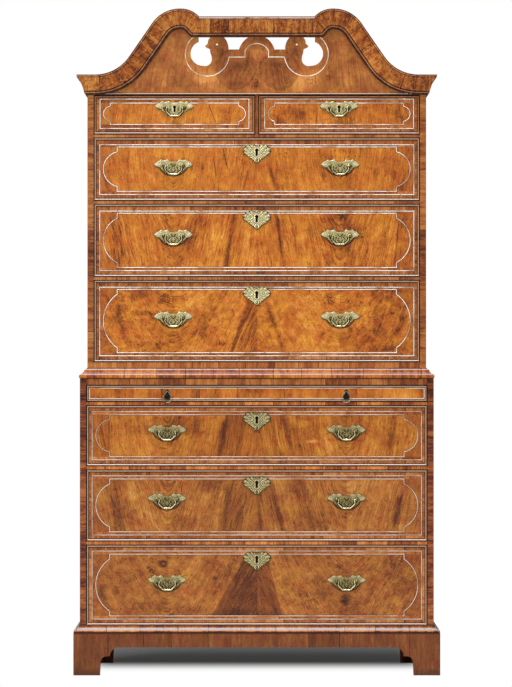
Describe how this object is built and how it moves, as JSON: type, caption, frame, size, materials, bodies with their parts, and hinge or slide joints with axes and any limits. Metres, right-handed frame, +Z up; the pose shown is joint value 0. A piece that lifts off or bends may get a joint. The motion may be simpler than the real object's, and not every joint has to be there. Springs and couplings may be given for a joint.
{
  "type": "chest-on-chest",
  "caption": "Walnut chest-on-chest with an arched, pierced pediment, drawers with swinging brass bails and sliding lock bolts, and a pull-out brushing slide, on bracket feet.",
  "frame": {"origin": "on the floor, under the middle of the whole outline in plan", "axes": "+Z up, the drawer fronts face -Y, +X to the right seen from the front"},
  "size_m": [1.048, 0.558, 1.9056],
  "materials": {
    "walnut": "waxed",
    "walnut_veneer": "polished figured veneer",
    "oak": "bare",
    "brass": "lacquered, lightly worn",
    "dark_brass": "darkened",
    "steel": "bare"
  },
  "bodies": {
    "case": {"bracket_plinth": "walnut", "pediment_board": "walnut", "pediment_moulding": "walnut", "waist_moulding": "walnut", "base_moulding": "walnut", "lower_case_boards": "walnut", "upper_case_boards": "walnut", "drawer_rails": "walnut", "dustboards_and_stops": "oak", "backboards": "oak"},
    "drawer_top_left": {"drawer_top_left_front": "walnut_veneer", "drawer_top_left_box": "oak", "drawer_top_left_brass": "brass"},
    "bolt_top_left": {"bolt_top_left": "steel"},
    "bail_top_left": {"bail_top_left": "brass"},
    "drawer_top_right": {"drawer_top_right_front": "walnut_veneer", "drawer_top_right_box": "oak", "drawer_top_right_brass": "brass"},
    "bolt_top_right": {"bolt_top_right": "steel"},
    "bail_top_right": {"bail_top_right": "brass"},
    "drawer_upper_1": {"drawer_upper_1_front": "walnut_veneer", "drawer_upper_1_box": "oak", "drawer_upper_1_brass": "brass"},
    "bolt_upper_1": {"bolt_upper_1": "steel"},
    "bail_upper_1_left": {"bail_upper_1_left": "brass"},
    "bail_upper_1_right": {"bail_upper_1_right": "brass"},
    "drawer_upper_2": {"drawer_upper_2_front": "walnut_veneer", "drawer_upper_2_box": "oak", "drawer_upper_2_brass": "brass"},
    "bolt_upper_2": {"bolt_upper_2": "steel"},
    "bail_upper_2_left": {"bail_upper_2_left": "brass"},
    "bail_upper_2_right": {"bail_upper_2_right": "brass"},
    "drawer_upper_3": {"drawer_upper_3_front": "walnut_veneer", "drawer_upper_3_box": "oak", "drawer_upper_3_brass": "brass"},
    "bolt_upper_3": {"bolt_upper_3": "steel"},
    "bail_upper_3_left": {"bail_upper_3_left": "brass"},
    "bail_upper_3_right": {"bail_upper_3_right": "brass"},
    "drawer_lower_1": {"drawer_lower_1_front": "walnut_veneer", "drawer_lower_1_box": "oak", "drawer_lower_1_brass": "brass"},
    "bolt_lower_1": {"bolt_lower_1": "steel"},
    "bail_lower_1_left": {"bail_lower_1_left": "brass"},
    "bail_lower_1_right": {"bail_lower_1_right": "brass"},
    "drawer_lower_2": {"drawer_lower_2_front": "walnut_veneer", "drawer_lower_2_box": "oak", "drawer_lower_2_brass": "brass"},
    "bolt_lower_2": {"bolt_lower_2": "steel"},
    "bail_lower_2_left": {"bail_lower_2_left": "brass"},
    "bail_lower_2_right": {"bail_lower_2_right": "brass"},
    "drawer_lower_3": {"drawer_lower_3_front": "walnut_veneer", "drawer_lower_3_box": "oak", "drawer_lower_3_brass": "brass"},
    "bolt_lower_3": {"bolt_lower_3": "steel"},
    "bail_lower_3_left": {"bail_lower_3_left": "brass"},
    "bail_lower_3_right": {"bail_lower_3_right": "brass"},
    "slide": {"slide_board": "walnut_veneer", "slide_ring_posts": "dark_brass"},
    "ring_left": {"ring_left": "dark_brass"},
    "ring_right": {"ring_right": "dark_brass"}
  },
  "joints": [
    {"name": "top_left_slides_out", "type": "slide", "parent": "case", "child": "drawer_top_left", "axis": [0, -1, 0], "range_m": [0, 0.4]},
    {"name": "top_left_bolt_throws", "type": "slide", "parent": "drawer_top_left", "child": "bolt_top_left", "axis": [0, 0, 1], "range_m": [0, 0.007]},
    {"name": "top_left_bail_lifts", "type": "hinge", "parent": "drawer_top_left", "child": "bail_top_left", "pos_m": [-0.23575, -0.2475, 1.625], "axis": [-1, 0, 0], "range_deg": [0, 160]},
    {"name": "top_right_slides_out", "type": "slide", "parent": "case", "child": "drawer_top_right", "axis": [0, -1, 0], "range_m": [0, 0.4]},
    {"name": "top_right_bolt_throws", "type": "slide", "parent": "drawer_top_right", "child": "bolt_top_right", "axis": [0, 0, 1], "range_m": [0, 0.007]},
    {"name": "top_right_bail_lifts", "type": "hinge", "parent": "drawer_top_right", "child": "bail_top_right", "pos_m": [0.23575, -0.2475, 1.625], "axis": [-1, 0, 0], "range_deg": [0, 160]},
    {"name": "upper_1_slides_out", "type": "slide", "parent": "case", "child": "drawer_upper_1", "axis": [0, -1, 0], "range_m": [0, 0.4]},
    {"name": "upper_1_bolt_throws", "type": "slide", "parent": "drawer_upper_1", "child": "bolt_upper_1", "axis": [0, 0, 1], "range_m": [0, 0.007]},
    {"name": "upper_1_left_bail_lifts", "type": "hinge", "parent": "drawer_upper_1", "child": "bail_upper_1_left", "pos_m": [-0.239, -0.2475, 1.458], "axis": [-1, 0, 0], "range_deg": [0, 160]},
    {"name": "upper_1_right_bail_lifts", "type": "hinge", "parent": "drawer_upper_1", "child": "bail_upper_1_right", "pos_m": [0.239, -0.2475, 1.458], "axis": [-1, 0, 0], "range_deg": [0, 160]},
    {"name": "upper_2_slides_out", "type": "slide", "parent": "case", "child": "drawer_upper_2", "axis": [0, -1, 0], "range_m": [0, 0.4]},
    {"name": "upper_2_bolt_throws", "type": "slide", "parent": "drawer_upper_2", "child": "bolt_upper_2", "axis": [0, 0, 1], "range_m": [0, 0.007]},
    {"name": "upper_2_left_bail_lifts", "type": "hinge", "parent": "drawer_upper_2", "child": "bail_upper_2_left", "pos_m": [-0.239, -0.2475, 1.257], "axis": [-1, 0, 0], "range_deg": [0, 160]},
    {"name": "upper_2_right_bail_lifts", "type": "hinge", "parent": "drawer_upper_2", "child": "bail_upper_2_right", "pos_m": [0.239, -0.2475, 1.257], "axis": [-1, 0, 0], "range_deg": [0, 160]},
    {"name": "upper_3_slides_out", "type": "slide", "parent": "case", "child": "drawer_upper_3", "axis": [0, -1, 0], "range_m": [0, 0.4]},
    {"name": "upper_3_bolt_throws", "type": "slide", "parent": "drawer_upper_3", "child": "bolt_upper_3", "axis": [0, 0, 1], "range_m": [0, 0.007]},
    {"name": "upper_3_left_bail_lifts", "type": "hinge", "parent": "drawer_upper_3", "child": "bail_upper_3_left", "pos_m": [-0.239, -0.2475, 1.0225], "axis": [-1, 0, 0], "range_deg": [0, 160]},
    {"name": "upper_3_right_bail_lifts", "type": "hinge", "parent": "drawer_upper_3", "child": "bail_upper_3_right", "pos_m": [0.239, -0.2475, 1.0225], "axis": [-1, 0, 0], "range_deg": [0, 160]},
    {"name": "lower_1_slides_out", "type": "slide", "parent": "case", "child": "drawer_lower_1", "axis": [0, -1, 0], "range_m": [0, 0.42]},
    {"name": "lower_1_bolt_throws", "type": "slide", "parent": "drawer_lower_1", "child": "bolt_lower_1", "axis": [0, 0, 1], "range_m": [0, 0.007]},
    {"name": "lower_1_left_bail_lifts", "type": "hinge", "parent": "drawer_lower_1", "child": "bail_lower_1_left", "pos_m": [-0.2565, -0.2685, 0.698], "axis": [-1, 0, 0], "range_deg": [0, 160]},
    {"name": "lower_1_right_bail_lifts", "type": "hinge", "parent": "drawer_lower_1", "child": "bail_lower_1_right", "pos_m": [0.2565, -0.2685, 0.698], "axis": [-1, 0, 0], "range_deg": [0, 160]},
    {"name": "lower_2_slides_out", "type": "slide", "parent": "case", "child": "drawer_lower_2", "axis": [0, -1, 0], "range_m": [0, 0.42]},
    {"name": "lower_2_bolt_throws", "type": "slide", "parent": "drawer_lower_2", "child": "bolt_lower_2", "axis": [0, 0, 1], "range_m": [0, 0.007]},
    {"name": "lower_2_left_bail_lifts", "type": "hinge", "parent": "drawer_lower_2", "child": "bail_lower_2_left", "pos_m": [-0.2565, -0.2685, 0.502], "axis": [-1, 0, 0], "range_deg": [0, 160]},
    {"name": "lower_2_right_bail_lifts", "type": "hinge", "parent": "drawer_lower_2", "child": "bail_lower_2_right", "pos_m": [0.2565, -0.2685, 0.502], "axis": [-1, 0, 0], "range_deg": [0, 160]},
    {"name": "lower_3_slides_out", "type": "slide", "parent": "case", "child": "drawer_lower_3", "axis": [0, -1, 0], "range_m": [0, 0.42]},
    {"name": "lower_3_bolt_throws", "type": "slide", "parent": "drawer_lower_3", "child": "bolt_lower_3", "axis": [0, 0, 1], "range_m": [0, 0.007]},
    {"name": "lower_3_left_bail_lifts", "type": "hinge", "parent": "drawer_lower_3", "child": "bail_lower_3_left", "pos_m": [-0.2565, -0.2685, 0.26875], "axis": [-1, 0, 0], "range_deg": [0, 160]},
    {"name": "lower_3_right_bail_lifts", "type": "hinge", "parent": "drawer_lower_3", "child": "bail_lower_3_right", "pos_m": [0.2565, -0.2685, 0.26875], "axis": [-1, 0, 0], "range_deg": [0, 160]},
    {"name": "brushing_slide_pulls_out", "type": "slide", "parent": "case", "child": "slide", "axis": [0, -1, 0], "range_m": [0, 0.3]},
    {"name": "ring_left_lifts", "type": "hinge", "parent": "slide", "child": "ring_left", "pos_m": [-0.256, -0.268, 0.8096], "axis": [-1, 0, 0], "range_deg": [0, 150]},
    {"name": "ring_right_lifts", "type": "hinge", "parent": "slide", "child": "ring_right", "pos_m": [0.256, -0.268, 0.8096], "axis": [-1, 0, 0], "range_deg": [0, 150]}
  ]
}
